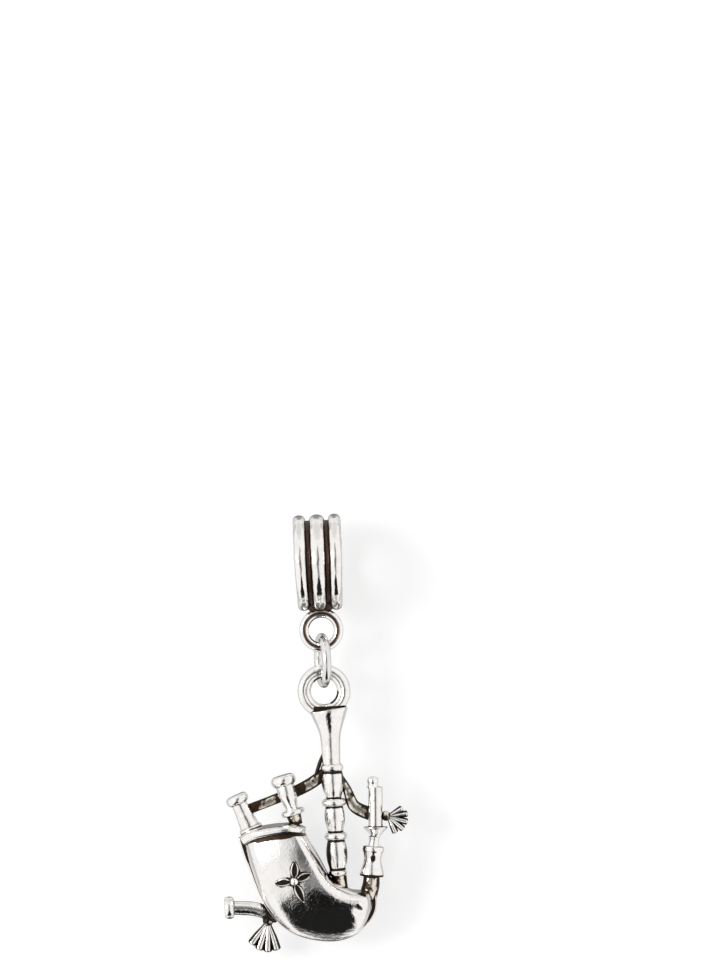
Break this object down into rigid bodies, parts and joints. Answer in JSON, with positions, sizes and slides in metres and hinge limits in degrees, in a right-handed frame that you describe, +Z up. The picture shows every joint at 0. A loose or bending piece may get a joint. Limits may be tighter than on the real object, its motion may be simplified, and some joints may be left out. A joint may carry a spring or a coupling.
{
  "type": "bagpipes charm",
  "caption": "Cast bagpipes pendant with a bag, drones, blowpipe, chanter, cords and tassels, hung by a split ring from a ribbed slide-on bail.",
  "frame": {"origin": "centre of the bail's bore", "axes": "+Z up with the charm hanging below, +X along the bail's bore to the right, the flowered face of the bag towards -Y"},
  "size_m": [0.0186, 0.0096, 0.0434],
  "materials": {
    "cast_silver": "polished antique-silver plating on a zinc alloy casting, with brown-black oxide left in the recesses",
    "oxidised_silver": "the same plating left dark and brownish, worn bright only on raised edges",
    "bail_metal": "polished antique-silver plating, ribs bright and grooves nearly black",
    "ring_wire": "smooth drawn steel wire, silver plated"
  },
  "bodies": {
    "bail": {"bail_tube": "bail_metal", "bail_loop": "bail_metal"},
    "ring": {"jump_ring": "ring_wire"},
    "bagpipes": {"bag_back": "cast_silver", "bag_band": "cast_silver", "bag_front": "cast_silver", "bass_drone_bead_1": "cast_silver", "bass_drone_bead_2": "cast_silver", "bass_drone_bead_3": "cast_silver", "bass_drone_bell": "cast_silver", "bass_drone_collar_1": "cast_silver", "bass_drone_collar_2": "cast_silver", "bass_drone_collar_3": "cast_silver", "bass_drone_collar_4": "cast_silver", "bass_drone_stock": "oxidised_silver", "blowpipe_cup": "cast_silver", "blowpipe_elbow": "oxidised_silver", "blowpipe_mouthpiece": "cast_silver", "blowpipe_neck": "cast_silver", "blowpipe_stock": "cast_silver", "blowpipe_tube": "cast_silver", "chanter_bell": "cast_silver", "chanter_tube": "cast_silver", "drone_cord_left": "oxidised_silver", "drone_cord_middle": "oxidised_silver", "drone_cord_right": "oxidised_silver", "drone_cord_tail": "oxidised_silver", "flower_petal_down": "oxidised_silver", "flower_petal_left": "oxidised_silver", "flower_petal_right": "oxidised_silver", "flower_petal_up": "oxidised_silver", "flower_stud": "cast_silver", "hanging_loop": "cast_silver", "left_tassel_knot": "oxidised_silver", "left_tassel_strands": "cast_silver", "left_tenor_body": "cast_silver", "left_tenor_cap": "cast_silver", "left_tenor_foot": "cast_silver", "right_tassel_knot": "oxidised_silver", "right_tassel_strands": "cast_silver", "right_tenor_barrel": "cast_silver", "right_tenor_cap": "cast_silver", "right_tenor_collar": "cast_silver", "right_tenor_stock": "oxidised_silver"}
  },
  "joints": [
    {"name": "ring_swing", "type": "hinge", "parent": "bail", "child": "ring", "pos_m": [0, 0, -0.00851], "axis": [1, 0, 0], "range_deg": [-90, 90]},
    {"name": "charm_swing", "type": "hinge", "parent": "ring", "child": "bagpipes", "pos_m": [0, 0, -0.01212], "axis": [-0.1822, 0.9833, 0], "range_deg": [-90, 90]}
  ]
}
